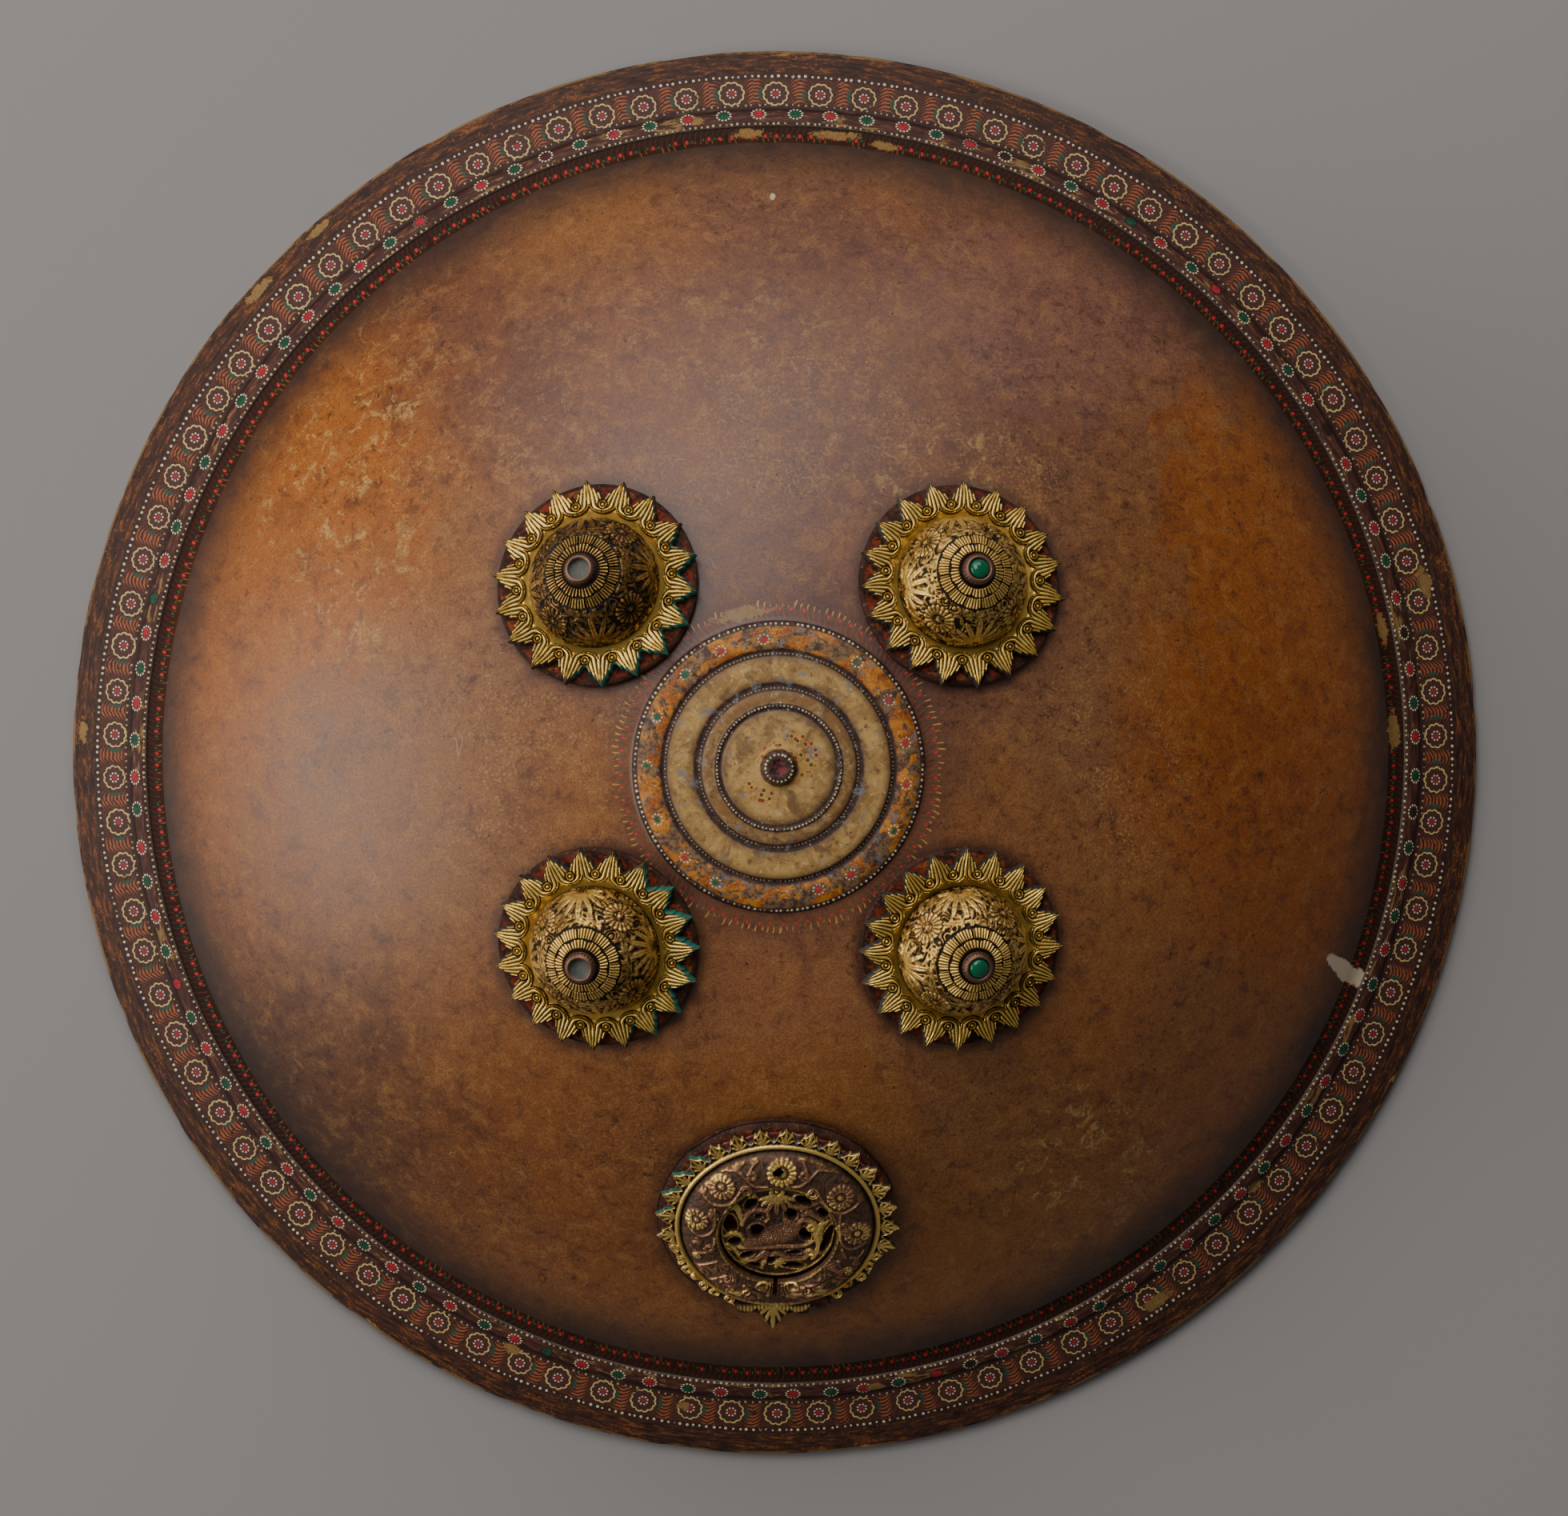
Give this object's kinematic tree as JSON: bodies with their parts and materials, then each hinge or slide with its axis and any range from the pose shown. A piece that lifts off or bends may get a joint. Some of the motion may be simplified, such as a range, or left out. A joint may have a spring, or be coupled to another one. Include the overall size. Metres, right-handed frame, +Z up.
{
  "type": "round shield",
  "caption": "Domed round shield of lacquered hide with a beaded, painted rim, a turned medallion, gilt leaf-collared bosses and a pierced crest boss; it lies on its rim.",
  "frame": {"origin": "Under the middle of the dome, on the plane that the rim rests on.", "axes": "+Z goes up through the middle of the dome. +Y points away from the crest boss, which is the top of the picture. +X is the picture's right."},
  "size_m": [0.52, 0.52, 0.1368],
  "materials": {
    "lacquered_hide": "thick hide, lacquered in mottled brown and amber, with a painted border",
    "pad_leather": "dark lacquered leather, worn at its edge",
    "gilt_copper": "cast leaves, fire-gilt copper, bright on the high spots with green at some tips",
    "embossed_copper": "embossed gilt copper, worn to a dark brown patina in the ground",
    "bare_copper": "worn pink copper",
    "green_glass": "polished green glass cabochon",
    "red_felt": "faded red cloth",
    "brown_leather": "dry brown leather",
    "iron": "dark forged iron"
  },
  "bodies": {
    "root": {"boss_lower_left_collar": "gilt_copper", "boss_lower_left_dome": "embossed_copper", "boss_lower_left_pad": "pad_leather", "boss_lower_left_setting": "bare_copper", "boss_lower_right_collar": "gilt_copper", "boss_lower_right_dome": "embossed_copper", "boss_lower_right_pad": "pad_leather", "boss_lower_right_setting": "bare_copper", "boss_lower_right_stone": "green_glass", "boss_upper_left_collar": "gilt_copper", "boss_upper_left_dome": "embossed_copper", "boss_upper_left_pad": "pad_leather", "boss_upper_left_setting": "bare_copper", "boss_upper_right_collar": "gilt_copper", "boss_upper_right_dome": "embossed_copper", "boss_upper_right_pad": "pad_leather", "boss_upper_right_setting": "bare_copper", "boss_upper_right_stone": "green_glass", "crest_collar": "gilt_copper", "crest_felt": "red_felt", "crest_pad": "pad_leather", "crest_pierced": "embossed_copper", "crest_plate": "embossed_copper", "crest_tab": "brown_leather", "grip_left": "brown_leather", "grip_right": "brown_leather", "grip_rivet_lower_left": "iron", "grip_rivet_lower_right": "iron", "grip_rivet_upper_left": "iron", "grip_rivet_upper_right": "iron", "shield_plate": "lacquered_hide"}
  },
  "joints": []
}
